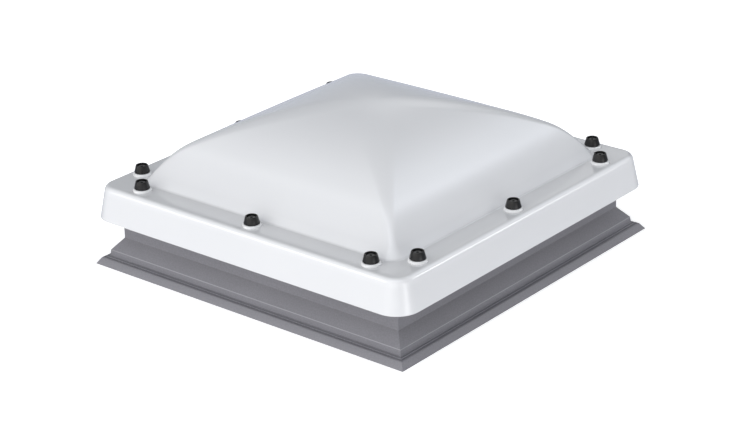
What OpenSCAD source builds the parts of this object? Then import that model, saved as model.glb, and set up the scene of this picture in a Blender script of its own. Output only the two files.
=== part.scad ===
// Fixed roof skylight: a double-skin opal dome, screwed down all round to a kerb of four
// hollow PVC extrusions that are mitred and welded at the corners.
// Millimetres, +Z up. The origin is the plan centre of the roof opening, on the roof deck.
// The front of the skylight faces -Y, and a side's outline is drawn as [u, z], with u the
// distance outwards from the edge of the opening.

/* [Roof opening] */
// Clear width between the kerb's inner faces, along X
opening_x = 600; // [500:10:1000]
// Clear depth between the kerb's inner faces, along Y
opening_y = 600; // [500:10:1000]

/* [Kerb extrusion] */
// Height from the roof deck to the top of the kerb's head
kerb_h = 160; // [130:5:240]
// Thickness of the upright wall, out to its outer face
kerb_wall = 51.4; // [42:0.2:65]
// Thickness of the extrusion's outer walls
shell_t = 3; // [2:0.1:4]
// Thickness of the webs between its chambers
web_t = 2; // [1.5:0.1:3]
// How far the sloped foot spreads beyond the upright wall
foot_spread = 20.8; // [16:0.2:26]
// Height of the roofing bead's top edge, where the slope begins
bead_top = 28.4; // [24:0.2:32]
// Height at which the slope meets the upright wall
slope_top = 52.5; // [46:0.5:60]
// How far the drip lip reaches beyond the upright wall
lip_reach = 43.6; // [38:0.2:50]
// Height of the drip lip's ridge
lip_ridge = 12.9; // [11:0.1:14]
// Depth of the two fine grooves along the top of the drip lip
lip_groove = 1.2; // [0.6:0.1:1.6]
// How far the head reaches beyond the upright wall, under the dome's skirt
head_out = 20; // [18:0.5:24]
// Height of the head's upright outer face
head_face = 22; // [20:0.5:26]

/* [Fixings] */
// Distance from a corner of the fixing line to the nearest fixing
corner_pitch = 60; // [50:1:90]
// Radius of a dome screw's shank
screw_r = 2.75; // [2:0.05:3.5]
// How far a dome screw reaches below the top of the rail
screw_bite = 13; // [10:0.5:14]
// Radius of a dome screw's head
screw_head_r = 7.5; // [6.5:0.1:8.5]
// Height of a dome screw's head
screw_head_h = 2.6; // [2:0.1:3.5]
// Radius of the frame screw holes that run down through the kerb
frame_hole_r = 4.25; // [3:0.25:5]
// Distance from a corner of the opening to the nearest frame screw
frame_screw_inset = 100; // [70:5:150]

/* [Conical bush] */
// Height of the bush that spreads a dome screw's load
bush_h = 14.5; // [12:0.5:18]
// Radius of the bush at its base
bush_base_r = 16; // [14:0.5:18]
// Radius of the bush at its rim
bush_rim_r = 12; // [11:0.5:13.5]
// Radius of the recess that takes the screw's head
bush_recess_r = 9.8; // [9:0.1:11]
// Depth of that recess
bush_recess = 5.5; // [4:0.5:7]
// Radius of the rounding at the bush's base and rim
bush_edge = 0.8; // [0.4:0.1:1.2]

/* [Seals] */
// Thickness of the gasket between the kerb's head and the inner skin
gasket_t = 2; // [1.5:0.5:4]
// Thickness of the spacer tape between the two skins
tape_t = 2; // [1.5:0.5:4]
// Width of the spacer tape
tape_w = 6.5; // [4:0.5:6.5]
// Thickness of the rubber washer under a bush
washer_t = 1; // [0.8:0.1:2]
// Radius of the rubber washer
washer_r = 14.5; // [12:0.5:15]
// Width of the seal that lies under the kerb
base_seal_w = 13.6; // [11:0.2:15]
// Thickness of the seal that lies under the kerb
base_seal_t = 4; // [3:0.5:5]

/* [Dome skins] */
// Thickness of the outer skin
outer_t = 3; // [2.5:0.1:4]
// Thickness of the inner skin
inner_t = 2; // [1.5:0.1:3]
// Rise of the outer dome above its flange
outer_rise = 143; // [118:1:175]
// Rise of the inner dome above its flange
inner_rise = 108; // [88:1:125]
// Height of the raised boss under each fixing
boss_h = 5; // [4:0.5:7]
// Radius of the raised boss at the flange
boss_r = 19; // [18.5:0.5:22]
// Radius of the rounding at a boss's top edge
boss_edge = 3; // [1.5:0.5:3.5]
// Radius of the pocket under a boss
pocket_r = 9; // [8:0.5:12]
// Radius of the sleeve that stands in the pocket
sleeve_r = 6; // [4.5:0.5:6.5]
// How far the skirt's bottom edge stands outside the kerb's upright wall
skirt_out = 45.6; // [43:0.2:50]
// How far the skirt hangs below the flange
skirt_drop = 67; // [50:1:75]
// Draft of the skirt
skirt_draft = 12; // [8:0.5:14]
// Radius of the edge between flange and skirt
flange_edge = 11.6; // [8:0.1:13]

/* [Reinforcement rail] */
// Thickness of the folded steel rail in the kerb's head
rail_t = 1.5; // [1.2:0.1:2]
// Height of the rail's two flanges
rail_h = 13; // [9:0.5:15]
// Height of the chamber that holds the rail
rail_room = 16; // [16:0.5:18]
// How far the rail runs past the corner of the opening, at each end
rail_past = 20; // [14:1:26]

/* [Hidden] */
SIDES = ["front", "right", "back", "left"];

round_steps = 4;      // chords in each small rounded corner of the extrusion
corner_steps = 6;     // chords in each plan corner of the skins
crown_cap = 0.3;      // the flat cap at the top, in steps of the crown
crown_steps = 10;     // rings over a dome's crown, shoulder and foot fillet
shoulder_steps = 8;
fillet_steps = 5;
edge_steps = 5;       // rings round the edge between flange and skirt
past = 1;             // how far a cutting shape runs past the face that it opens
fit_gap = 0.2;        // clearance of a seal in its groove, each side
rail_gap = 0.5;       // clearance of the rail in its chamber, each side
tap_gap = 0.1;        // clearance where a screw passes its own rail
hole_gap = 0.5;       // clearance of a screw in plastic, all round

// Levels of the stack that the screws clamp together
inner_flange_z = kerb_h + gasket_t + inner_t;
flange_z = inner_flange_z + tape_t + outer_t;
boss_z = flange_z + boss_h;
bush_z = boss_z + washer_t;
screw_seat_z = bush_z + bush_h - bush_recess;
screw_len = screw_seat_z - (kerb_h - shell_t) + screw_bite;

// The kerb's outline, as [u, z, radius]
fix_u = kerb_wall;                       // the fixings stand over the upright wall's outer face
bead_u = kerb_wall + foot_spread;
head_u = kerb_wall + head_out;
head_foot = kerb_h - head_face - head_out;   // where the wall starts to slope out to the head
lip_u = kerb_wall + lip_reach;
bead_lean = 1.5;                         // the bead leans out by this much towards its foot
bead_foot = 16.8;
ridge_in = 9.3;                          // from the lip's tip in to its ridge
lip_root_u = bead_u - 1.2;               // outer face of the foot, under the lip
lip_t = 3.8;                             // width of the lip's tip on the roof
ledge_in = lip_u - ridge_in;
seal_u = kerb_wall - shell_t - 4.4 - base_seal_w - fit_gap;
seal_groove = [seal_u - fit_gap, seal_u + base_seal_w + fit_gap];
ledge_fall = (bead_foot - lip_ridge) / (ledge_in - bead_u - bead_lean);
function ledge_z(u) = lip_ridge + (ledge_in - u) * ledge_fall;
groove_spans = [[ledge_in - 2.2, ledge_in - 5.6], [ledge_in - 7.4, ledge_in - 10.2]];

kerb_outline = concat(
    [[0, 0, 0], [seal_groove[0], 0, 0], [seal_groove[0], base_seal_t, 0],
     [seal_groove[1], base_seal_t, 0], [seal_groove[1], 0, 0],
     [lip_root_u, 0, 0], [lip_root_u, lip_ridge, 0],
     [ledge_in - 1.7, lip_ridge - 3.3, 0], [lip_u - lip_t, 0, 0],
     [lip_u, 0, 0.3], [ledge_in, lip_ridge, 0.8]],
    [for (g = groove_spans, p = [[g[0], 0], [g[0], lip_groove], [g[1], lip_groove], [g[1], 0]])
        [p[0], ledge_z(p[0]) - p[1], 0]],
    [[bead_u + bead_lean, bead_foot, 0], [bead_u, bead_top, 1.2], [kerb_wall, slope_top, 0.8],
     [kerb_wall, head_foot, 1.5], [head_u, head_foot + head_out, 1],
     [head_u, kerb_h, 1.5], [0, kerb_h, 1.5]]);

// Its chambers: two columns up the wall, one in the foot, and three in the head
split_u = (kerb_wall - web_t) / 2;                   // the web between the two columns
wall_in = kerb_wall - shell_t;
low_web = slope_top - web_t;                         // underside of the web over the foot
high_web = head_foot - 8;                            // underside of the web below the head
head_top = kerb_h - shell_t;
rail_half = head_out - shell_t;                      // the rail's chamber, either side of the fixings
rail_floor = head_top - rail_room;
under_rail = rail_floor - shell_t;
head_skew = head_foot + (sqrt(2) - 1) * shell_t;     // foot of the head's slope, inside the wall
foot_skew = shell_t / cos(atan2(slope_top - bead_top, foot_spread));
function box2(u0, u1, z0, z1) = [[u0, z0], [u1, z0], [u1, z1], [u0, z1]];
function under_slope(u) =
    bead_top + (bead_u - u) * (slope_top - bead_top) / foot_spread - foot_skew;
chambers = [
    box2(shell_t, split_u, shell_t, low_web),
    box2(split_u + web_t, wall_in, base_seal_t + shell_t, low_web),
    box2(shell_t, split_u, low_web + web_t, high_web),
    box2(split_u + web_t, wall_in, low_web + web_t, high_web),
    box2(shell_t, fix_u - rail_half - shell_t, high_web + web_t, head_top),
    box2(fix_u - rail_half, fix_u + rail_half, rail_floor, head_top),
    [[fix_u - rail_half, high_web + web_t], [wall_in, high_web + web_t], [wall_in, head_skew],
     [wall_in + under_rail - head_skew, under_rail], [fix_u - rail_half, under_rail]],
    [[kerb_wall, shell_t], [lip_root_u - shell_t, shell_t], [bead_u - shell_t, bead_foot],
     [bead_u - shell_t, under_slope(bead_u - shell_t)], [kerb_wall, under_slope(kerb_wall)]]];

// The profile of the skins, as rings [half-width, height, downward slope, corner radius]
foot_corner = 0.09;             // corner radius over half-width, at the foot of a dome
skirt_axis = fix_u - 3;         // axis of both flanges' rounded corners
foot_in = 24.4;                 // from the fixing line in to the outer dome's foot
outer_shoulder = [48.5, 65.3];  // in from the foot, and up from the flange
outer_fillet = 4;
outer_crown = 28;               // slope of the crown where it leaves the shoulder
inner_foot_u = 12;              // the inner dome's foot, outside the edge of the opening
inner_shoulder = [40, 45];
inner_fillet = 15;
inner_crown = 25;
blend_len = 49;                 // length of a shoulder's blend, up the crown
skin_edge = fix_u + head_out - 0.5;
tape_edge = fix_u + 14;         // inside the flange's rounded corners

// ---- Shared shapes ----

function unit(v) = v / norm(v);
function turned(v, a) = [v.x * cos(a) - v.y * sin(a), v.x * sin(a) + v.y * cos(a)];

// The arc, or the bare point, that stands at corner b of an outline between a and c
function corner_arc(a, b, c) =
    b[2] == 0 ? [[b.x, b.y]] :
    let (at = [b.x, b.y], u = unit([a.x, a.y] - at), v = unit([c.x, c.y] - at),
         half = acos(u * v) / 2, centre = at + unit(u + v) * b[2] / sin(half),
         start = at + u * b[2] / tan(half) - centre,
         turn = -sign(cross(u, v)) * (180 - 2 * half))
    [for (k = [0 : round_steps]) centre + turned(start, turn * k / round_steps)];

function rounded(p) =
    let (n = len(p))
    [for (i = [0 : n - 1]) each corner_arc(p[(i + n - 1) % n], p[i], p[(i + 1) % n])];

// Half the opening along side i, and away from the centre to it
function along(i) = (i % 2 == 0 ? opening_x : opening_y) / 2;
function away(i) = (i % 2 == 0 ? opening_y : opening_x) / 2;

// Turns a child drawn for the front, along X at -Y, on to side i
module on_side(i) rotate([0, 0, 90 * i]) children();

// Extrudes a [u, z] outline along side i, with no mitre
module straight_side(i, half_len) {
    on_side(i) translate([-half_len, 0, 0]) rotate([90, 0, 90]) linear_extrude(2 * half_len)
        translate([-away(i), 0]) mirror([1, 0]) children();
}

// Extrudes a [u, z] outline along side i, mitred at both ends
module mitred_side(i) {
    reach = lip_u + past;
    intersection() {
        straight_side(i, along(i) + reach) children();
        on_side(i) translate([0, 0, -past]) linear_extrude(kerb_h + skirt_drop)
            polygon([[-along(i) + past, -away(i) + past], [along(i) - past, -away(i) + past],
                     [along(i) + reach, -away(i) - reach], [-along(i) - reach, -away(i) - reach]]);
    }
}

// Puts a child at the three fixings of side i
module at_fixings(i) {
    on_side(i) for (k = [-1 : 1])
        translate([k * (along(i) + fix_u - corner_pitch), -away(i) - fix_u, 0]) children();
}

module at_all_fixings() {
    for (i = [0 : 3]) at_fixings(i) children();
}

module flat_box(u0, u1, z0, z1) translate([u0, z0]) square([u1 - u0, z1 - z0]);

// ---- Kerb ----

// One side of the kerb: the hollow extrusion, drilled for the dome screws and frame screws
module kerb_side(i) {
    color([0.46, 0.45, 0.47]) difference() {
        mitred_side(i) difference() {
            polygon(rounded(kerb_outline));
            for (c = chambers) polygon(c);
        }
        at_fixings(i) translate([0, 0, head_top - past])
            cylinder(r = screw_r + hole_gap, h = shell_t + 2 * past, $fn = 48);
        on_side(i) for (k = [-1, 1])
            translate([k * (along(i) - frame_screw_inset), -away(i) - (shell_t + split_u) / 2, -past])
                cylinder(r = frame_hole_r, h = kerb_h + 2 * past, $fn = 48);
    }
}

// The folded steel rail inside the head, which the dome screws bite into
module head_rail(i) {
    w = rail_half - rail_gap;
    color([0.72, 0.73, 0.74]) difference() {
        straight_side(i, along(i) + rail_past) difference() {
            flat_box(fix_u - w, fix_u + w, head_top - rail_h, head_top);
            flat_box(fix_u - w + rail_t, fix_u + w - rail_t,
                     head_top - rail_h - past, head_top - rail_t);
        }
        at_fixings(i) translate([0, 0, head_top - rail_t - past])
            cylinder(r = screw_r + tap_gap, h = rail_t + 2 * past, $fn = 48);
    }
}

// The rubber strip in the groove under the kerb
module base_seal(i) {
    color([0.13, 0.13, 0.13]) mitred_side(i)
        flat_box(seal_u, seal_u + base_seal_w, 0, base_seal_t);
}

// The rubber strip between the kerb's head and the inner skin
module kerb_gasket(i) {
    color([0.15, 0.15, 0.15]) difference() {
        mitred_side(i) flat_box(fix_u - head_out, skin_edge, kerb_h, kerb_h + gasket_t);
        at_fixings(i) translate([0, 0, kerb_h - past])
            cylinder(r = screw_r + hole_gap, h = gasket_t + 2 * past, $fn = 48);
    }
}

// The foam tape between the two skins, outside the line of fixings
module skin_tape(i) {
    color([0.3, 0.3, 0.3]) mitred_side(i)
        flat_box(tape_edge - tape_w, tape_edge, inner_flange_z, inner_flange_z + tape_t);
}

// ---- Dome skins ----

function bezier(p, t) = p[0] * pow(1 - t, 3) + 3 * p[1] * t * pow(1 - t, 2)
                      + 3 * p[2] * t * t * (1 - t) + p[3] * pow(t, 3);
function bezier_way(p, t) = (p[1] - p[0]) * pow(1 - t, 2) + 2 * (p[2] - p[1]) * t * (1 - t)
                          + (p[3] - p[2]) * t * t;
function curve(p, steps, first) = [for (k = [first : steps])
    let (t = k / steps, at = bezier(p, t), way = bezier_way(p, t))
    [at.x, at.y, atan2(-way.y, way.x)]];

// The profile of a dome from its crown out to where its foot fillet runs flat
function dome_curve(foot, base, shoulder, rise, crown, fillet) =
    let (wall = atan2(shoulder.y, shoulder.x),
         bend = [foot - shoulder.x, base + shoulder.y],
         peak = [bend.x - (rise - shoulder.y) / tan(crown), base + rise],
         join = bend + blend_len * [-cos(crown), sin(crown)],
         run = fillet * tan(wall / 2),
         low = [foot - run * cos(wall), base + run * sin(wall)])
    concat(
        curve([[0, peak.y], [peak.x * 2 / 3, peak.y], join + (peak - join) * 2 / 3, join],
              crown_steps, crown_cap),
        curve([join, bend, bend, low], shoulder_steps, 1),
        [for (k = [1 : fillet_steps]) let (a = wall * (1 - k / fillet_steps))
            [foot + run - fillet * sin(a), base + fillet * (1 - cos(a)), a]]);

// Plan corner radius of a dome's ring: tight at the foot, opening to a circle at the crown
function dome_corner(r, foot) = r * (foot_corner + (1 - foot_corner) * pow(1 - r / foot, 2));

fix_half = min(opening_x, opening_y) / 2 + fix_u;
outer_foot = fix_half - foot_in + outer_fillet * tan(atan2(outer_shoulder.y, outer_shoulder.x) / 2);
skirt_slope = 90 - skirt_draft;
skirt_half = fix_half + skirt_out;
edge_half = skirt_half - skirt_drop * tan(skirt_draft) - flange_edge * tan(skirt_slope / 2);
outer_profile = concat(
    [for (p = dome_curve(fix_half - foot_in, flange_z, outer_shoulder, outer_rise, outer_crown,
                         outer_fillet))
        [p[0], p[1], p[2], dome_corner(p[0], outer_foot)]],
    [for (k = [0 : edge_steps]) let (a = skirt_slope * k / edge_steps,
                                     r = edge_half + flange_edge * sin(a))
        [r, flange_z - flange_edge * (1 - cos(a)), a, r - fix_half + fix_u - skirt_axis]],
    [[skirt_half, flange_z - skirt_drop, skirt_slope, skirt_half - fix_half + fix_u - skirt_axis]]);

inner_foot = fix_half - fix_u + inner_foot_u;
inner_flat = inner_foot + inner_fillet * tan(atan2(inner_shoulder.y, inner_shoulder.x) / 2);
inner_edge = fix_half - fix_u + skin_edge;
inner_profile = concat(
    [for (p = dome_curve(inner_foot, inner_flange_z, inner_shoulder, inner_rise, inner_crown,
                         inner_fillet))
        [p[0], p[1], p[2], dome_corner(p[0], inner_flat)]],
    [[inner_edge, inner_flange_z, 0, inner_edge - fix_half + fix_u - skirt_axis]]);

// One ring of points round a rounded rectangle, sunk by t along the profile's normal.
// Inside the foot the two half-widths keep the proportions of the foot.
function ring(p, foot, t) =
    let (wide = [opening_x, opening_y] / 2 - [1, 1] * min(opening_x, opening_y) / 2,
         grow = min(p[0] / foot, 1), in = t * sin(p[2]), r = max(p[3] - in, 0.5),
         half = [p[0] - in + wide.x * grow - r, p[0] - in + wide.y * grow - r])
    [for (q = [0 : 3], k = [0 : corner_steps])
        let (a = 90 * q + 90 * k / corner_steps, sx = q % 3 == 0 ? 1 : -1, sy = q < 2 ? 1 : -1)
        [sx * half.x + r * cos(a), sy * half.y + r * sin(a), p[1] - t * cos(p[2])]];

// The shell between a profile and its copy sunk by t
module skin(profile, foot, t) {
    n = len(profile);
    m = 4 * (corner_steps + 1);
    rings = concat([for (p = profile) ring(p, foot, 0)],
                   [for (j = [n - 1 : -1 : 0]) ring(profile[j], foot, t)]);
    faces = concat(
        [[for (k = [m - 1 : -1 : 0]) k]],
        [for (j = [0 : 2 * n - 2], k = [0 : m - 1])
            [j * m + k, j * m + (k + 1) % m, (j + 1) * m + (k + 1) % m, (j + 1) * m + k]],
        [[for (k = [0 : m - 1]) (2 * n - 1) * m + k]]);
    polyhedron([for (r = rings) each r], faces, convexity = 6);
}

// The raised boss that is moulded into the outer skin under a fixing
module boss() {
    rotate_extrude($fn = 64) {
        flat_box(0, boss_r - boss_edge, flange_z - outer_t / 2, boss_z);
        flat_box(0, boss_r, flange_z - outer_t / 2, boss_z - boss_edge);
        intersection() {
            translate([boss_r - boss_edge, boss_z - boss_edge]) circle(boss_edge, $fn = 64);
            flat_box(0, boss_r, boss_z - boss_edge, boss_z);
        }
    }
}

// The outer skin: dome, flange and drafted skirt in one thermoformed sheet
module outer_dome_skin() {
    color([0.93, 0.94, 0.96]) difference() {
        union() {
            skin(outer_profile, outer_foot, outer_t);
            at_all_fixings() boss();
        }
        at_all_fixings() translate([0, 0, flange_z - outer_t - past])
            cylinder(r = pocket_r, h = boss_h + past, $fn = 64);
        at_all_fixings() translate([0, 0, flange_z - outer_t])
            cylinder(r = screw_r + hole_gap, h = boss_h + outer_t + past, $fn = 48);
    }
}

// The inner skin: a lower dome with a flat flange that lies on the kerb's gasket
module inner_dome_skin() {
    color([0.96, 0.97, 0.98]) difference() {
        skin(inner_profile, inner_flat, inner_t);
        at_all_fixings() translate([0, 0, kerb_h + gasket_t - past])
            cylinder(r = screw_r + hole_gap, h = inner_t + 2 * past, $fn = 48);
    }
}

// ---- Fixings ----

// Nylon sleeves that stand on the inner skin and hold up each boss
module screw_sleeves() {
    color([0.85, 0.85, 0.83]) at_all_fixings() translate([0, 0, inner_flange_z]) difference() {
        cylinder(r = sleeve_r, h = tape_t + boss_h, $fn = 48);
        translate([0, 0, -past])
            cylinder(r = screw_r + hole_gap, h = tape_t + boss_h + 2 * past, $fn = 48);
    }
}

// Rubber washers between the bosses and the bushes
module sealing_washers() {
    color([0.1, 0.1, 0.1]) at_all_fixings() translate([0, 0, boss_z]) difference() {
        cylinder(r = washer_r, h = washer_t, $fn = 64);
        translate([0, 0, -past])
            cylinder(r = screw_r + hole_gap, h = washer_t + 2 * past, $fn = 48);
    }
}

// Black nylon bushes, tapered, with a recess for the screw's head
module conical_bushes() {
    color([0.07, 0.07, 0.07]) at_all_fixings() translate([0, 0, bush_z]) rotate_extrude($fn = 64)
        polygon(rounded([
            [screw_r + hole_gap, 0, 0], [bush_base_r, 0, bush_edge], [bush_rim_r, bush_h, bush_edge],
            [bush_recess_r, bush_h, 0.3], [bush_recess_r, bush_h - bush_recess, 0],
            [screw_r + hole_gap, bush_h - bush_recess, 0]]));
}

// Black-coated stainless screws with low round heads and hexagon sockets
module dome_screws() {
    socket_flats = 5;
    tip = 4;
    color([0.14, 0.14, 0.14]) at_all_fixings() translate([0, 0, screw_seat_z]) {
        difference() {
            rotate_extrude($fn = 64) polygon(rounded([
                [0, 0, 0], [screw_head_r, 0, 0.3], [screw_head_r - 0.6, screw_head_h, 0.6],
                [0, screw_head_h, 0]]));
            translate([0, 0, screw_head_h / 4])
                cylinder(r = socket_flats / 2 / cos(30), h = screw_head_h, $fn = 6);
        }
        translate([0, 0, tip - screw_len]) cylinder(r = screw_r, h = screw_len - tip, $fn = 48);
        translate([0, 0, -screw_len]) cylinder(r1 = 0.4, r2 = screw_r, h = tip, $fn = 48);
    }
}

for (i = [0 : 3]) {
    kerb_side(i);
    base_seal(i);
    head_rail(i);
    kerb_gasket(i);
    skin_tape(i);
}
inner_dome_skin();
screw_sleeves();
outer_dome_skin();
sealing_washers();
conical_bushes();
dome_screws();
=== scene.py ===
"""Fixed roof skylight: a double-skin opal dome on a kerb of grey PVC, built from the kerb up."""
import math

import bmesh
import bpy
from mathutils import Matrix, Vector


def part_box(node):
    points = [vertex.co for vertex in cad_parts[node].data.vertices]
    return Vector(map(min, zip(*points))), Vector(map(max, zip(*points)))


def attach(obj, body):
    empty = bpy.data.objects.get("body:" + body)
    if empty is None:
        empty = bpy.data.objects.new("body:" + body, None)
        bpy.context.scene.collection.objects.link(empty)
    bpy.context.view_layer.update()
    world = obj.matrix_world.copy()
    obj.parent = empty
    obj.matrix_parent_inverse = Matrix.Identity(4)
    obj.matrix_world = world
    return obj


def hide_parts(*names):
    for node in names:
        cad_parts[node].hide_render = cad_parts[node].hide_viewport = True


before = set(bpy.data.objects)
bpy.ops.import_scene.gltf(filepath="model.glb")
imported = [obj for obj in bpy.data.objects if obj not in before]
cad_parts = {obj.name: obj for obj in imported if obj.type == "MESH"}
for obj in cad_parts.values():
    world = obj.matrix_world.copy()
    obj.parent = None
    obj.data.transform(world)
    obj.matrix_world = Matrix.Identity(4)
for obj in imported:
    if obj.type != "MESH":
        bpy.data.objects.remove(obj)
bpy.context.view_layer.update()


# ---- Kerb -----------------------------------------------------------------------------------
# Four hollow extrusions of grey PVC, sawn at 45 degrees and welded at the corners into one ring.
# Each keeps the section of its CAD node, and gets the small chamfer that a cleaned weld leaves.

SIDES = ("front", "right", "back", "left")
MM = 0.001


class Wire:
    """A value in a material. Arithmetic on it adds Math nodes, or Vector Math where it scales a
    colour, and node() adds any other kind."""

    def __init__(self, tree, socket=None):
        self.tree, self.socket = tree, socket

    def node(self, kind, sockets=None, out=0, **settings):
        made = self.tree.nodes.new("ShaderNode" + kind)
        for name, value in settings.items():
            setattr(made, name, value)
        for name, value in (sockets or {}).items():
            if isinstance(value, Wire):
                self.tree.links.new(value.socket, made.inputs[name])
            else:
                made.inputs[name].default_value = value
        return Wire(self.tree, made.outputs[out])

    def _math(self, operation, a, b):
        return self.node("Math", {0: a, 1: b}, operation=operation)

    def __add__(self, other):
        return self._math("ADD", self, other)

    def __sub__(self, other):
        return self._math("SUBTRACT", self, other)

    def __rsub__(self, other):
        return self._math("SUBTRACT", other, self)

    def __mul__(self, other):
        if self.socket.type in ("RGBA", "VECTOR"):
            return self.node("VectorMath", {0: self, "Scale": other}, operation="SCALE")
        return self._math("MULTIPLY", self, other)

    def __rpow__(self, other):
        return self._math("POWER", other, self)

    __radd__, __rmul__ = __add__, __mul__


def noise(wire, at, scale, detail=2.0, rough=0.5):
    """Soft noise from 0 to 1 on a position; scale is in cells per metre."""
    return wire.node("TexNoise", {"Vector": at, "Scale": scale, "Detail": detail,
                                  "Roughness": rough})


def stretched(wire, at, scale):
    """The position with each axis scaled, to draw a pattern out along one of them."""
    return wire.node("Mapping", {"Vector": at, "Scale": scale})


def tint(wire, amount, dark, light):
    """A colour between dark and light, which may be made of nodes, by an amount from 0 to 1."""
    dark, light = (c if isinstance(c, Wire) else (*c, 1.0) for c in (dark, light))
    return wire.node("Mix", {"Factor": amount, 6: dark, 7: light}, out=2, data_type="RGBA")


def bump(wire, height, strength, distance):
    return wire.node("Bump", {"Height": height, "Strength": strength, "Distance": distance})


def outward(wire, at):
    """How far a place is from the centre across a square plan, and its height."""
    x, y, z = (wire.node("SeparateXYZ", {"Vector": at}, out=axis) for axis in "XYZ")
    across = [wire.node("Math", {0: c}, operation="ABSOLUTE") for c in (x, y)]
    return wire.node("Math", {0: across[0], 1: across[1]}, operation="MAXIMUM"), z


def finish(name, build, **constants):
    """A material: build(wire, at) returns what varies, and constants are set on the shader."""
    material = bpy.data.materials.new(name)
    material.use_nodes = True
    tree = material.node_tree
    shader = tree.nodes["Principled BSDF"]
    wire = Wire(tree)
    at = wire.node("TexCoord", out="Object")
    for socket, value in build(wire, at).items():
        tree.links.new(value.socket, shader.inputs[socket])
    for socket, value in constants.items():
        shader.inputs[socket.replace("_", " ")].default_value = value
    return material


kerb_opening = -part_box("kerb_front")[1].y      # half the clear opening
foot_line = kerb_opening + 50 * MM             # the bead and the drip lip stand outside this
bead_edge = 28 * MM                            # height of the bead's top edge
edge_highlight_band = 0.9 * MM                              # half-height of the painted highlight along that edge
edge_highlight = 0.8                               # how bright the painted highlight on that edge is, from 0 to 1
lip_ridge = -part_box("kerb_front")[0].y - 9.3 * MM            # the crest along the drip lip
lip_grooves = ((8.8 * MM, 2.8 * MM), (3.9 * MM, 3.4 * MM))   # (distance in from it, width)
lip_ribs = ((6.5 * MM, 1.8 * MM),)
groove_shade, rib_highlight = 0.26, 0.3             # how much painted shade darkens a groove, and a painted highlight brightens a rib


def kerb_pvc(name, lines_scale):
    """Matt grey PVC: a fine pressed grain over faint die lines that run along the extrusion.
    The grooves on its lip carry painted shade, and its rib and the bead's edge a painted highlight."""
    def build(wire, at):
        grain = noise(wire, at, 700.0, detail=3.0, rough=0.6)
        mottle = noise(wire, at, 380.0, rough=0.6)
        lines = noise(wire, stretched(wire, at, lines_scale), 1.0)
        cloud = noise(wire, at, 9.0)
        shade = grain * 0.15 + mottle * 0.6 + lines * 0.1 + cloud * 0.15
        plain = tint(wire, shade, (0.158, 0.155, 0.170), (0.318, 0.312, 0.341))
        out, z = outward(wire, at)
        outside = wire.node("Math", {0: out, 1: foot_line}, operation="GREATER_THAN")
        # painted shade in the lip's grooves, painted highlight on its rib and along the bead's edge
        shaded, highlighted = (sum(wire.node("Math", {0: out, 1: lip_ridge - middle, 2: width / 2},
                                      operation="COMPARE") for middle, width in spans)
                        for spans in (lip_grooves, lip_ribs))
        off = wire.node("Math", {0: (z - bead_edge) * (1 / edge_highlight_band)}, operation="ABSOLUTE")
        sheen_and_wear = wire.node("Math", {0: 1.0 - off, 1: 0.0}, operation="MAXIMUM")
        ribbed = plain * (1.0 - groove_shade * shaded + rib_highlight * highlighted)
        return {"Base Color": tint(wire, sheen_and_wear * outside * edge_highlight, ribbed, (0.47, 0.465, 0.49)),
                "Roughness": grain * 0.14 + 0.34,
                "Normal": bump(wire, grain * 0.7 + lines * 0.3, strength=0.35,
                               distance=0.25 * MM)}
    return finish(name, build, Specular_IOR_Level=0.4)


def only(*pieces):
    """Selects these objects alone, the last one active."""
    bpy.ops.object.select_all(action="DESELECT")
    for piece in pieces:
        piece.select_set(True)
        bpy.context.view_layer.objects.active = piece


def pick(piece, kind, test):
    """Selects, in edit mode, just the verts, edges or faces that pass the test."""
    mesh = bmesh.from_edit_mesh(piece.data)
    for group in (mesh.verts, mesh.edges, mesh.faces):
        for element in group:
            element.select = False
    bpy.ops.mesh.select_mode(type={"verts": "VERT", "edges": "EDGE", "faces": "FACE"}[kind])
    mesh = bmesh.from_edit_mesh(piece.data)
    for element in getattr(mesh, kind):
        if test(element):
            element.select_set(True)
    mesh.select_flush_mode()
    bmesh.update_edit_mesh(piece.data)


def done(piece, material, slot, *nodes, smooth=40):
    """Shades and finishes a piece, puts it under the root, and hides the CAD nodes it stands for."""
    only(piece)
    bpy.ops.object.shade_smooth_by_angle(angle=math.radians(smooth))
    piece.data.materials.clear()
    piece.data.materials.append(material)
    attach(piece, "root")
    if nodes:
        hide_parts(*nodes)
    return piece


weld_chamfer = 0.35 * MM
weld_fold = 0.5                                # radians: the least fold that gets the weld's chamfer
die_round = 0.35 * MM                          # what the die leaves on the foot's sharp corners
die_fold = math.radians(18)                    # the least fold that is such a corner
foot_height = 30 * MM


def on_mitre(vert):
    """True where a vertex lies in the plane of a corner's mitre."""
    return abs(abs(vert.co.x) - abs(vert.co.y)) < 0.01 * MM


def drawn_corner(edge):
    """True for a sharp corner that runs along the outside of the bead or the drip lip."""
    return (not all(map(on_mitre, edge.verts)) and edge.is_convex
            and edge.calc_face_angle(0) > die_fold
            and all(0.5 * MM < v.co.z < foot_height
                    and max(abs(v.co.x), abs(v.co.y)) > foot_line for v in edge.verts))


def kerb_side(side, material):
    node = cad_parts["kerb_" + side]
    only(node)
    bpy.ops.object.duplicate()
    piece = bpy.context.object
    piece.name = "kerb_extrusion_" + side
    bpy.ops.object.mode_set(mode="EDIT")
    bpy.ops.mesh.select_all(action="SELECT")
    bpy.ops.mesh.remove_doubles(threshold=0.005 * MM)
    bpy.ops.mesh.dissolve_limited(angle_limit=math.radians(0.5))
    pick(piece, "edges", drawn_corner)
    bpy.ops.mesh.bevel(offset=die_round, segments=2, affect="EDGES", clamp_overlap=True)
    pick(piece, "edges", lambda e: all(map(on_mitre, e.verts)) and len(e.link_faces) == 2
         and e.calc_face_angle(0) > weld_fold)
    bpy.ops.mesh.bevel(offset=weld_chamfer, segments=1, affect="EDGES", clamp_overlap=True)
    bpy.ops.object.mode_set(mode="OBJECT")
    return done(piece, material, "kerb_pvc", "kerb_" + side, smooth=28)


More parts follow.
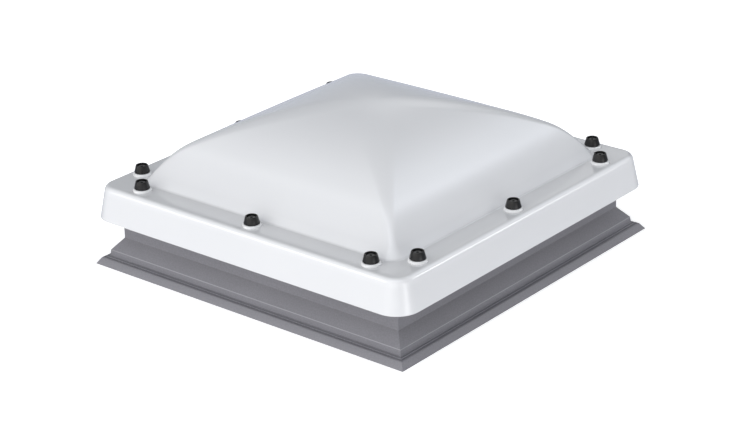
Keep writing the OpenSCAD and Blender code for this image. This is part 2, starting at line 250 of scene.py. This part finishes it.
lengthwise, crosswise = 3.0, 420.0             # die lines: cells per metre of their noise
pvc_along_x = kerb_pvc("kerb_pvc_x", (lengthwise, crosswise, crosswise))
pvc_along_y = kerb_pvc("kerb_pvc_y", (crosswise, lengthwise, crosswise))
for side in SIDES:
    kerb_side(side, pvc_along_x if side in ("front", "back") else pvc_along_y)


# ---- Base seals, gaskets and tapes -------------------------------------------------------------
# Extruded rubber strips under the kerb and on its head, and foam tape between the two skins.
# All are pinched between other pieces, so they keep their CAD shape and take a finish only.

def rubber(name, dark, light, cells):
    """Matt rubber with a fine skin and a little bloom."""
    def build(wire, at):
        skin = noise(wire, at, cells, detail=3.0, rough=0.65)
        bloom = noise(wire, at, 25.0)
        return {"Base Color": tint(wire, skin * 0.5 + bloom * 0.5, dark, light),
                "Roughness": skin * 0.2 + 0.6,
                "Normal": bump(wire, skin, strength=0.4, distance=0.2 * MM)}
    return finish(name, build, Specular_IOR_Level=0.35)


def dress(prefix, material):
    """Gives the finish to every CAD node whose name starts with the prefix."""
    for name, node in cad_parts.items():
        if name.startswith(prefix):
            node.data.materials.clear()
            node.data.materials.append(material)


epdm = rubber("seal_rubber", (0.012, 0.012, 0.013), (0.035, 0.035, 0.037), cells=900.0)
dress("base_seal_", epdm)
dress("kerb_gasket_", epdm)
dress("skin_tape_", rubber("foam_tape", (0.045, 0.045, 0.048), (0.1, 0.1, 0.105), cells=1500.0))


# ---- Reinforcement rails ----------------------------------------------------------------------
# Folded galvanised steel channels that slide into the head's chamber before the corners are
# welded. The dome screws bite into them.

def galvanised(wire, at):
    """Zinc spangle: flat crystals of slightly different brightness, with fine rolling marks."""
    spangle = wire.node("TexVoronoi", {"Vector": at, "Scale": 160.0}, out="Distance")
    marks = noise(wire, stretched(wire, at, (12.0, 900.0, 900.0)), 1.0)
    return {"Base Color": tint(wire, spangle, (0.46, 0.47, 0.49), (0.72, 0.73, 0.75)),
            "Roughness": spangle * 0.25 + marks * 0.1 + 0.28,
            "Normal": bump(wire, marks, strength=0.15, distance=0.05 * MM)}


dress("head_rail_", finish("rail_steel", galvanised, Metallic=1.0))


# ---- Dome skins --------------------------------------------------------------------------------
# Two thermoformed sheets of opal polycarbonate. Each is drawn as rings of its section, from the
# crown outwards: a ring is a square with round corners, crisp at the foot and round at the top.
# Rings are extruded from a circle one after another, and the sheet's thickness comes last.

flange_fade = 3.5 * MM                       # height over which the painted shade on a sheet's flange fades out
foot_reach = 5 * flange_fade                 # height of the painted light at the foot of a dome
flange_shade, foot_glow = 0.18, 0.08         # how much that painted shade darkens and that painted light brightens the sheet
boss_rise = 0.05                             # of the fade: what is higher is above the flange
# painted highlight: the near-white colour that the bosses take
boss_highlight = (0.93, 0.93, 0.935)


def opal(name, cool, warm, coat, flange):
    """Glossy opal sheet with a trace of forming ripple. It carries painted shade at the height of
    its flange, which has dark pieces behind it and not the light well, painted light at the foot
    of the dome, where light gathers in the bend, and a painted highlight on the bosses."""
    def build(wire, at):
        ripple = noise(wire, at, 14.0, detail=1.0)
        milk = noise(wire, at, 3.5)
        out, height = outward(wire, at)
        above = (height - flange) * (1 / flange_fade)
        away = wire.node("Math", {0: above}, operation="ABSOLUTE")
        lit = wire.node("Math", {0: away, 1: 1.0}, operation="MINIMUM")
        # the bosses, which get the painted highlight
        past_foot = wire.node("Math", {0: out, 1: boss_zone}, operation="GREATER_THAN")
        raised = wire.node("Math", {0: above, 1: boss_rise}, operation="GREATER_THAN")
        boss = past_foot * raised
        past = wire.node("Math", {0: away * (flange_fade / foot_reach), 1: 1.0},
                         operation="MINIMUM")
        # painted shade on the flange and painted light at the dome's foot, scaling the sheet's
        # colour
        white = 1 - flange_shade + flange_shade * lit + foot_glow * (lit - past)
        sheet = tint(wire, milk, cool, warm) * white
        return {"Base Color": tint(wire, boss, sheet, boss_highlight),
                "Roughness": ripple * 0.05 + 0.06,
                "Normal": bump(wire, ripple, strength=0.05, distance=1.5 * MM)}
    return finish(name, build, Coat_Weight=coat, Coat_Roughness=0.04, IOR=1.58)


def bezier(p, t):
    """The point at t on a cubic curve."""
    s = 1 - t
    return p[0] * s ** 3 + 3 * p[1] * t * s * s + 3 * p[2] * t * t * s + p[3] * t ** 3


def dome_section(foot, base, shoulder, rise, crown_angle, fillet, blend, steps):
    """Points [half-width, height] of a dome's outer face, from its crown to its flat flange."""
    crown_steps, shoulder_steps, fillet_steps = steps
    wall = math.atan2(shoulder[1], shoulder[0])
    slope = math.radians(crown_angle)
    bend = Vector((foot - shoulder[0], base + shoulder[1]))
    peak = Vector((bend.x - (rise - shoulder[1]) / math.tan(slope), base + rise))
    join = bend + blend * Vector((-math.cos(slope), math.sin(slope)))
    run = fillet * math.tan(wall / 2)
    low = Vector((foot - run * math.cos(wall), base + run * math.sin(wall)))
    crown = (Vector((0, peak.y)), Vector((peak.x * 2 / 3, peak.y)),
             join + (peak - join) * 2 / 3, join)
    points = [bezier(crown, k / crown_steps) for k in range(1, crown_steps + 1)]
    points += [bezier((join, bend, bend, low), k / shoulder_steps)
               for k in range(1, shoulder_steps + 1)]
    for k in range(1, fillet_steps + 1):
        a = wall * (1 - k / fillet_steps)
        points.append(Vector((foot + run - fillet * math.sin(a),
                              base + fillet * (1 - math.cos(a)))))
    return points


foot_corner, hip_corner = 0.09, 0.035        # corner radius over half-width, at foot and hips
hip_flare = 22 * MM                          # over which the hips open out at the foot
hip_bow = 0.19                               # how far they bow in, over what the radius loses
bow_gather = 4                               # how closely that bow gathers at the corners


def dome_corner(half, foot):
    """Corner radius of a dome's ring, and how far its sides bow in towards the corners."""
    wide, tight = (half * (c + (1 - c) * (1 - half / foot) ** 2)
                   for c in (foot_corner, hip_corner))
    t = min((foot - half) / hip_flare, 1)
    sharp = t * t * (3 - 2 * t)
    return wide + (tight - wide) * sharp, hip_bow * (wide - tight) * sharp


def ring(half, height, corner, bow, steps, turns):
    """The points of one rounded square, side after side."""
    points, straight = [], half - corner
    for quarter in range(4):
        turn = Matrix.Rotation(math.pi / 2 * quarter, 3, "Z")
        side = [((2 * k / steps - 1) * straight, -half) for k in range(steps + 1)]
        for k in range(1, turns):
            a = math.pi / 2 * (k / turns - 1)
            side.append((straight + corner * math.cos(a), -straight + corner * math.sin(a)))
        for x, y in side:
            pull = 1 - bow / half * (2 * x * y / (x * x + y * y)) ** bow_gather
            points.append(turn @ Vector((x * pull, y * pull, height)))
    return points


def extrude_rings(name, crown_height, rings):
    """Fans the first ring round the crown, then extrudes the rim outwards ring by ring."""
    bpy.ops.object.select_all(action="DESELECT")
    bpy.ops.mesh.primitive_circle_add(vertices=len(rings[0]), radius=1, fill_type="TRIFAN")
    piece = bpy.context.object
    piece.name = name
    bpy.ops.object.mode_set(mode="EDIT")
    bpy.ops.mesh.select_mode(type="EDGE")
    mesh = bmesh.from_edit_mesh(piece.data)
    station = mesh.verts.layers.int.new("station")
    rim = [v for v in mesh.verts if v.co.length > 0.5]
    for k, vert in enumerate(rim):
        vert[station] = k
        vert.co = rings[0][k]
    for vert in mesh.verts:
        if vert not in rim:
            vert.co = (0, 0, crown_height)
    pick(piece, "edges", lambda e: e.is_boundary)
    for points in rings[1:]:
        bpy.ops.mesh.extrude_edges_move()
        mesh = bmesh.from_edit_mesh(piece.data)
        station = mesh.verts.layers.int["station"]
        for vert in mesh.verts:
            if vert.select:
                vert.co = points[vert[station]]
    bmesh.update_edit_mesh(piece.data)
    bpy.ops.mesh.select_all(action="SELECT")
    bpy.ops.mesh.normals_make_consistent(inside=False)
    bpy.ops.object.mode_set(mode="OBJECT")
    return piece


cut_fold = 1.0                               # radians: the least fold along a sheet's cut edge


def thicken(piece, thickness, edge):
    """Gives a sheet its thickness, inwards, and rounds its cut edge."""
    solid = piece.modifiers.new("thickness", "SOLIDIFY")
    solid.thickness, solid.offset, solid.use_even_offset = thickness, -1, True
    only(piece)
    bpy.ops.object.modifier_apply(modifier="thickness")
    bpy.ops.object.mode_set(mode="EDIT")
    low = min(v.co.z for v in piece.data.vertices)
    pick(piece, "edges", lambda e: e.calc_face_angle(0) > cut_fold
         and max(v.co.z for v in e.verts) < low + thickness * 1.2)
    bpy.ops.mesh.bevel(offset=edge, segments=3, affect="EDGES")
    bpy.ops.object.mode_set(mode="OBJECT")


skin_low, skin_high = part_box("outer_dome_skin")
inner_low, inner_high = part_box("inner_dome_skin")
bush_low, bush_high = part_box("conical_bushes")
bush_base_r = 16 * MM
fixing_line = bush_high.x - bush_base_r      # distance of the fixings from the centre
corner_pitch = 60 * MM                       # from a corner of that line to a fixing
fixing_places = [k * (fixing_line - corner_pitch) for k in (-1, 0, 1)]

# The outer skin: dome, flange with twelve raised bosses, rounded edge and drafted skirt
outer_t = 3 * MM
skirt_drop = 67 * MM
skirt_draft = math.radians(12)
corner_axis = fixing_line - 3 * MM           # of both flanges' rounded corners
flange_edge = 11.6 * MM                      # radius of the edge between flange and skirt
flange_z = skin_low.z + outer_t * math.sin(skirt_draft) + skirt_drop
outer_foot = fixing_line - 24.4 * MM         # half-width of the dome where it meets the flange
boss_h, boss_r, boss_edge = 5 * MM, 19 * MM, 4.4 * MM
boss_z = flange_z + boss_h
boss_zone = outer_foot + 5 * MM              # what is raised outside this is a boss
pocket_r = 9 * MM                            # under a boss, round the screw's sleeve
hole_r = 3.25 * MM                           # for a screw, in plastic or rubber


def at_fixings(piece):
    """Twelve copies of a piece that was made on the axis, one at each fixing, side after side."""
    copies = []
    for quarter in range(4):
        turn = Matrix.Rotation(math.pi / 2 * quarter, 4, "Z")
        for place in fixing_places:
            copy = piece.copy()
            copy.data = piece.data.copy()
            bpy.context.collection.objects.link(copy)
            copy.data.transform(turn @ Matrix.Translation((place, -fixing_line, 0)))
            copies.append(copy)
    bpy.data.objects.remove(piece)
    return copies


def turned(low, high, r, sides=64):
    """A plain cylinder on the axis between two heights, open for editing."""
    bpy.ops.object.select_all(action="DESELECT")
    bpy.ops.mesh.primitive_cylinder_add(vertices=sides, radius=r, depth=high - low,
                                        location=(0, 0, (low + high) / 2))
    piece = bpy.context.object
    bpy.ops.object.transform_apply(location=True)
    bpy.ops.object.mode_set(mode="EDIT")
    return piece


def near(value, wanted):
    return abs(value - wanted) < 0.05 * MM


def level_faces(up, z):
    """A test for the face at height z that looks up, or down."""
    return lambda f: f.normal.z * up > 0.9 and near(f.calc_center_median().z, z)


def combine(piece, parts, operation):
    """Adds parts to a solid or cuts them out of it, all at once."""
    only(*parts)
    bpy.ops.object.join()
    tool = bpy.context.object
    change = piece.modifiers.new("change", "BOOLEAN")
    change.operation, change.object, change.solver = operation, tool, "EXACT"
    only(piece)
    bpy.ops.object.modifier_apply(modifier="change")
    bpy.data.objects.remove(tool)


def bosses():
    """Round bosses with a soft upper edge, sunk half-way into the flange that they grow from."""
    boss = turned(flange_z - outer_t / 2, boss_z, boss_r, sides=96)
    pick(boss, "edges", lambda e: all(near(v.co.z, boss_z) for v in e.verts))
    bpy.ops.mesh.bevel(offset=boss_edge, segments=8, affect="EDGES")
    bpy.ops.object.mode_set(mode="OBJECT")
    return at_fixings(boss)


def screw_ways():
    """Cutters for the pocket under each boss and the screw's hole through both skins."""
    low, high = flange_z - outer_t - 1 * MM, boss_z - outer_t
    cutter = turned(low, high, pocket_r)
    for up, z, reach in ((1, high, outer_t + 2 * MM), (-1, low, 6 * MM)):
        pick(cutter, "faces", level_faces(up, z))
        bpy.ops.mesh.inset(thickness=pocket_r - hole_r)
        bpy.ops.mesh.extrude_region_move(TRANSFORM_OT_translate={"value": (0, 0, up * reach)})
    bpy.ops.object.mode_set(mode="OBJECT")
    return at_fixings(cutter)


def outer_skin():
    points = dome_section(foot=outer_foot, base=flange_z, shoulder=(48.5 * MM, 65.3 * MM),
                          rise=skin_high.z - flange_z, crown_angle=28, fillet=4 * MM,
                          blend=49 * MM, steps=(16, 16, 6))
    flat = points[-1].x
    section = [(p.x, p.y, *dome_corner(p.x, flat)) for p in points]
    slope = math.pi / 2 - skirt_draft
    edge = skin_high.x - skirt_drop * math.tan(skirt_draft) - flange_edge * math.tan(slope / 2)
    flat_corner, edge_corner = section[-1][2], edge - corner_axis
    flat_steps = 4
    for k in range(1, flat_steps):
        t = k / flat_steps
        section.append((flat + (edge - flat) * t, flange_z,
                        flat_corner + (edge_corner - flat_corner) * t, 0))
    edge_steps = 9
    for k in range(edge_steps + 1):
        a = slope * k / edge_steps
        half = edge + flange_edge * math.sin(a)
        section.append((half, flange_z - flange_edge * (1 - math.cos(a)), half - corner_axis, 0))
    bottom = flange_z - skirt_drop
    top_half, top_z = section[-1][0], section[-1][1]
    for t in (0.3, 0.65, 1):                 # three rings down the skirt
        half = top_half + (skin_high.x - top_half) * t
        section.append((half, top_z + (bottom - top_z) * t, half - corner_axis, 0))
    piece = extrude_rings("outer_dome", skin_high.z,
                          [ring(*level, steps=56, turns=14) for level in section])
    thicken(piece, outer_t, edge=0.5 * MM)
    combine(piece, bosses(), "UNION")
    combine(piece, screw_ways(), "DIFFERENCE")
    return piece


outer_opal = opal("outer_opal", (0.81, 0.815, 0.833), (0.845, 0.849, 0.862), coat=0.6,
                  flange=flange_z)
done(outer_skin(), outer_opal, "outer_opal", "outer_dome_skin", smooth=60)


inner_t = 2 * MM
inner_flange_z = inner_low.z + inner_t


def inner_skin():
    """A lower dome with a flat flange that lies on the kerb's gasket."""
    foot = kerb_opening + 12 * MM
    points = dome_section(foot=foot, base=inner_flange_z, shoulder=(40 * MM, 45 * MM),
                          rise=inner_high.z - inner_flange_z, crown_angle=25, fillet=15 * MM,
                          blend=49 * MM, steps=(14, 10, 6))
    flat = points[-1].x
    section = [(p.x, p.y, *dome_corner(p.x, flat)) for p in points]
    edge = inner_high.x
    section.append((edge, inner_flange_z, edge - corner_axis, 0))
    piece = extrude_rings("inner_dome", inner_high.z,
                          [ring(*level, steps=40, turns=10) for level in section])
    thicken(piece, inner_t, edge=0.4 * MM)
    combine(piece, screw_ways(), "DIFFERENCE")
    return piece


inner_opal = opal("inner_opal", (0.82, 0.83, 0.85), (0.86, 0.865, 0.88), coat=0.4,
                  flange=inner_flange_z)
done(inner_skin(), inner_opal, "inner_opal", "inner_dome_skin", smooth=60)


# ---- Sleeves -----------------------------------------------------------------------------------
# Short nylon tubes that stand on the inner skin round each screw and hold up the boss above.
# Nothing of them shows once the dome is closed, so they keep their CAD shape.

def natural_nylon(wire, at):
    flow = noise(wire, at, 120.0)
    return {"Base Color": tint(wire, flow, (0.60, 0.58, 0.52), (0.70, 0.68, 0.62)),
            "Roughness": flow * 0.15 + 0.35,
            "Normal": bump(wire, flow, strength=0.1, distance=0.1 * MM)}


dress("screw_sleeves", finish("nylon_natural", natural_nylon))


# ---- Washers, bushes and screws ----------------------------------------------------------------
# Each fixing is a rubber washer, a tapered black nylon bush with a deep recess, and a low-headed
# screw with a hexagon socket. One of each is modelled on the axis and copied to the fixings.

washer_r, washer_t = 14.5 * MM, 1 * MM
bush_rim_r, bush_recess_r = 12 * MM, 9.8 * MM
bush_recess = 5.5 * MM


def radius_of(vert):
    return math.hypot(vert.co.x, vert.co.y)


def loop_at(r, z):
    """A test for the edges of a circle of radius r at height z."""
    return lambda e: all(near(radius_of(v), r) and near(v.co.z, z) for v in e.verts)


def drill(piece, low, high, r_low, r_high):
    """Insets the end faces to the screw's hole and joins them through the piece."""
    for up, z, r in ((-1, low, r_low), (1, high, r_high)):
        pick(piece, "faces", level_faces(up, z))
        bpy.ops.mesh.inset(thickness=r - hole_r)
    pick(piece, "faces", lambda f: max(map(radius_of, f.verts)) < hole_r + 0.1 * MM)
    bpy.ops.mesh.delete(type="FACE")
    pick(piece, "edges", lambda e: e.is_boundary)
    bpy.ops.mesh.bridge_edge_loops()


def washer():
    piece = turned(boss_z, boss_z + washer_t, washer_r)
    drill(piece, boss_z, boss_z + washer_t, washer_r, washer_r)
    pick(piece, "edges", lambda e: loop_at(washer_r, boss_z)(e)
         or loop_at(washer_r, boss_z + washer_t)(e))
    bpy.ops.mesh.bevel(offset=0.3 * MM, segments=3, affect="EDGES")
    bpy.ops.object.mode_set(mode="OBJECT")
    return piece


def bush():
    base, rim = bush_low.z, bush_high.z
    bpy.ops.object.select_all(action="DESELECT")
    bpy.ops.mesh.primitive_cone_add(vertices=96, radius1=bush_base_r, radius2=bush_rim_r,
                                    depth=rim - base, location=(0, 0, (base + rim) / 2))
    piece = bpy.context.object
    bpy.ops.object.transform_apply(location=True)
    bpy.ops.object.mode_set(mode="EDIT")
    pick(piece, "faces", level_faces(1, rim))
    bpy.ops.mesh.inset(thickness=bush_rim_r - bush_recess_r)
    bpy.ops.mesh.extrude_region_move(TRANSFORM_OT_translate={"value": (0, 0, -bush_recess)})
    drill(piece, base, rim - bush_recess, bush_base_r, bush_recess_r)
    pick(piece, "edges", lambda e: loop_at(bush_rim_r, rim)(e) or loop_at(bush_base_r, base)(e))
    bpy.ops.mesh.bevel(offset=0.8 * MM, segments=4, affect="EDGES")
    pick(piece, "edges", loop_at(bush_recess_r, rim))
    bpy.ops.mesh.bevel(offset=0.3 * MM, segments=2, affect="EDGES")
    bpy.ops.object.mode_set(mode="OBJECT")
    return piece


screw_seat = bush_high.z - bush_recess
screw_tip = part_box("dome_screws")[0].z
screw_r, screw_core_r = 2.75 * MM, 2.1 * MM
screw_head_r, screw_head_h = 7.5 * MM, 2.6 * MM
screw_point, point_taper = 4 * MM, 0.12        # its length, and its end's width over the core's
socket_r, socket_depth = 3.3 * MM, 2.3 * MM
thread_pitch, thread_turns = 2.1 * MM, 12


def thread():
    """A triangle swept up the core in a helix, with both of its ends closed."""
    tooth = screw_r - screw_core_r + 0.2 * MM    # its foot is sunk that much into the core
    bpy.ops.object.select_all(action="DESELECT")
    bpy.ops.mesh.primitive_circle_add(vertices=3, radius=tooth)
    piece = bpy.context.object
    for vert, (x, z) in zip(piece.data.vertices, ((tooth, 0), (0, tooth * 0.6), (0, -tooth * 0.6))):
        vert.co = (screw_r - tooth + x, 0, screw_tip + screw_point + z)
    sweep = piece.modifiers.new("sweep", "SCREW")
    sweep.screw_offset, sweep.iterations = thread_pitch, thread_turns
    sweep.steps = sweep.render_steps = 24
    bpy.ops.object.modifier_apply(modifier="sweep")
    bpy.ops.object.mode_set(mode="EDIT")
    bpy.ops.mesh.select_all(action="SELECT")
    bpy.ops.mesh.fill_holes(sides=3)
    bpy.ops.mesh.normals_make_consistent(inside=False)
    bpy.ops.object.mode_set(mode="OBJECT")
    return piece


def screw():
    """A core with a low round head, a hexagon socket and a coarse thread."""
    head_top = screw_seat + screw_head_h
    piece = turned(screw_seat, head_top, screw_head_r, sides=48)
    pick(piece, "faces", level_faces(-1, screw_seat))
    bpy.ops.mesh.inset(thickness=screw_head_r - screw_core_r)
    shank = screw_seat - screw_tip - screw_point
    bpy.ops.mesh.extrude_region_move(TRANSFORM_OT_translate={"value": (0, 0, -shank)})
    bpy.ops.mesh.extrude_region_move(TRANSFORM_OT_translate={"value": (0, 0, -screw_point)})
    bpy.ops.transform.resize(value=(point_taper, point_taper, 1))
    pick(piece, "edges", loop_at(screw_head_r, head_top))
    bpy.ops.mesh.bevel(offset=0.9 * MM, segments=4, affect="EDGES")
    pick(piece, "edges", loop_at(screw_head_r, screw_seat))
    bpy.ops.mesh.bevel(offset=0.3 * MM, segments=2, affect="EDGES")
    bpy.ops.object.mode_set(mode="OBJECT")
    socket = turned(head_top - socket_depth, head_top + 1 * MM, socket_r, sides=6)
    bpy.ops.object.mode_set(mode="OBJECT")
    combine(piece, [socket], "DIFFERENCE")
    only(thread(), piece)
    bpy.ops.object.join()
    return piece


def black_nylon(wire, at):
    """Moulded black nylon with a fine spark-eroded texture."""
    grain = noise(wire, at, 1400.0)
    cloud = noise(wire, at, 60.0)
    return {"Base Color": tint(wire, cloud, (0.006, 0.006, 0.006), (0.014, 0.013, 0.013)),
            "Roughness": grain * 0.1 + 0.24,
            "Normal": bump(wire, grain, strength=0.12, distance=0.08 * MM)}


shade_line = screw_seat + screw_head_h * 0.6   # height below which the socket and the head's side get painted shade
shade_level = 0.1                                   # how much of the coat's brightness that painted shade leaves


def coated_steel(wire, at):
    """Stainless steel under a thin black coat, with painted shade in the socket and low on the head.
    """
    wear = noise(wire, at, 400.0, detail=3.0, rough=0.6)
    height = wire.node("SeparateXYZ", {"Vector": at}, out="Z")
    # painted shade in the socket and low on the head; the top keeps the coat's full colour
    top = wire.node("Math", {0: height, 1: shade_line}, operation="GREATER_THAN")
    sheen_and_wear = tint(wire, wear, (0.10, 0.10, 0.10), (0.18, 0.18, 0.18))
    return {"Base Color": sheen_and_wear * (shade_level + (1 - shade_level) * top),
            "Roughness": wear * 0.2 + 0.32,
            "Normal": bump(wire, wear, strength=0.08, distance=0.05 * MM)}


def copy_to_fixings(piece, name, material, slot, node):
    """Puts a finished copy of a piece modelled on the axis at each fixing."""
    for k, copy in enumerate(at_fixings(piece)):
        copy.name = f"{name}_{SIDES[k // 3]}_{k % 3 + 1}"
        done(copy, material, slot, node, smooth=35)


copy_to_fixings(washer(), "washer", epdm, "seal_rubber", "sealing_washers")
copy_to_fixings(bush(), "bush", finish("nylon_black", black_nylon), "nylon_black",
                "conical_bushes")
copy_to_fixings(screw(), "screw", finish("coated_steel", coated_steel, Metallic=0.5),
                "coated_stainless", "dome_screws")


# ---- Studio ------------------------------------------------------------------------------------
# A pale floor that glows a little, as a white sweep lit from all round does, large soft lights
# in front, behind and above, narrower ones that the glossy edges mirror, and a long lens.

def studio_floor():
    bpy.ops.object.select_all(action="DESELECT")
    bpy.ops.mesh.primitive_plane_add(size=40, location=(0, 0, 0))
    floor = bpy.context.object
    floor.name = "floor"
    floor.visible_glossy = False                # the skins mirror the soft room, not the sweep
    material = finish("floor_paint", lambda wire, at: {
        "Base Color": tint(wire, noise(wire, at, 2.0), (0.78, 0.78, 0.78), (0.8, 0.8, 0.8))},
        Roughness=0.9, Emission_Color=(1, 1, 1, 1), Emission_Strength=0.6)
    floor.data.materials.append(material)


WARM, PLAIN, COOL = (1, 0.95, 0.85), (1, 1, 1), (0.87, 0.92, 1)
# Where the room is bright: azimuth (0 at the front, 90 at the right), elevation, how tightly
# the light gathers there, brightness and colour
room_lamps = ((0, 8, 7, 0.5, WARM), (45, 8, 7, 0.5, PLAIN), (-135, 8, 7, 0.25, COOL),
              (0, 35, 7, 0.88, PLAIN), (0, 65, 7, 1.1, COOL), (180, 65, 7, 0.35, WARM),
              (-80, 50, 20, 0.9, PLAIN), (165, 45, 20, 1.8, COOL),
              (-38, 17, 60, 4, PLAIN), (138, 17, 200, 7, PLAIN),
              (82, -8, 30, 2.4, PLAIN), (-147, 23, 100, 0.5, PLAIN),
              (66, 50, 25, 0.7, COOL))
sweep_glow = (0.34, 0.36, 0.42)                # what a glossy face mirrors below the horizon
horizon_level, horizon_fade = 0.6, 2.5         # that glow's strength there, and its growth below


def direction(turn, lift):
    """The way to a place in the room, from its azimuth and elevation in degrees."""
    turn, lift = math.radians(turn), math.radians(lift)
    return Vector((math.sin(turn) * math.cos(lift), -math.cos(turn) * math.cos(lift),
                   math.sin(lift)))


def studio_room():
    """Soft light from the sweep and the lamps, added up in the world's background."""
    world = bpy.data.worlds.new("studio")
    world.use_nodes = True
    tree = world.node_tree
    wire = Wire(tree)
    way = wire.node("TexCoord", out="Generated")
    down = wire.node("VectorMath", {0: way, 1: (0, 0, -1)}, out="Value", operation="DOT_PRODUCT")
    below = wire.node("Math", {0: down * horizon_fade + horizon_level, 1: 1.0},
                      operation="MINIMUM", use_clamp=True)
    light = wire.node("VectorMath", {0: sweep_glow, "Scale": below}, operation="SCALE")
    for turn, lift, focus, power, colour in room_lamps:
        facing = wire.node("VectorMath", {0: way, 1: direction(turn, lift)}, out="Value",
                           operation="DOT_PRODUCT")
        strength = power * math.e ** (focus * (facing - 1))
        lamp = wire.node("VectorMath", {0: colour, "Scale": strength}, operation="SCALE")
        light = wire.node("VectorMath", {0: light, 1: lamp}, operation="ADD")
    tree.links.new(light.socket, tree.nodes["Background"].inputs["Color"])
    bpy.context.scene.world = world


studio_floor()
studio_room()
bpy.context.scene.view_settings.view_transform = "Standard"

camera_turn, camera_lift = 40.215, 23.279      # azimuth and elevation, in degrees
camera_roll = math.radians(-1.672)
camera_distance = 4.462
aim = Vector((-0.0140, 0.0250, 0.0653))        # what the camera looks at
back = direction(camera_turn, camera_lift)
lens = bpy.data.cameras.new("camera")
lens.sensor_width, lens.lens = 36, 105.85
camera = bpy.data.objects.new("camera", lens)
bpy.context.collection.objects.link(camera)
camera.matrix_world = (Matrix.Translation(aim + back * camera_distance)
                       @ (-back).to_track_quat("-Z", "Y").to_matrix().to_4x4()
                       @ Matrix.Rotation(camera_roll, 4, "Z"))
bpy.context.scene.camera = camera
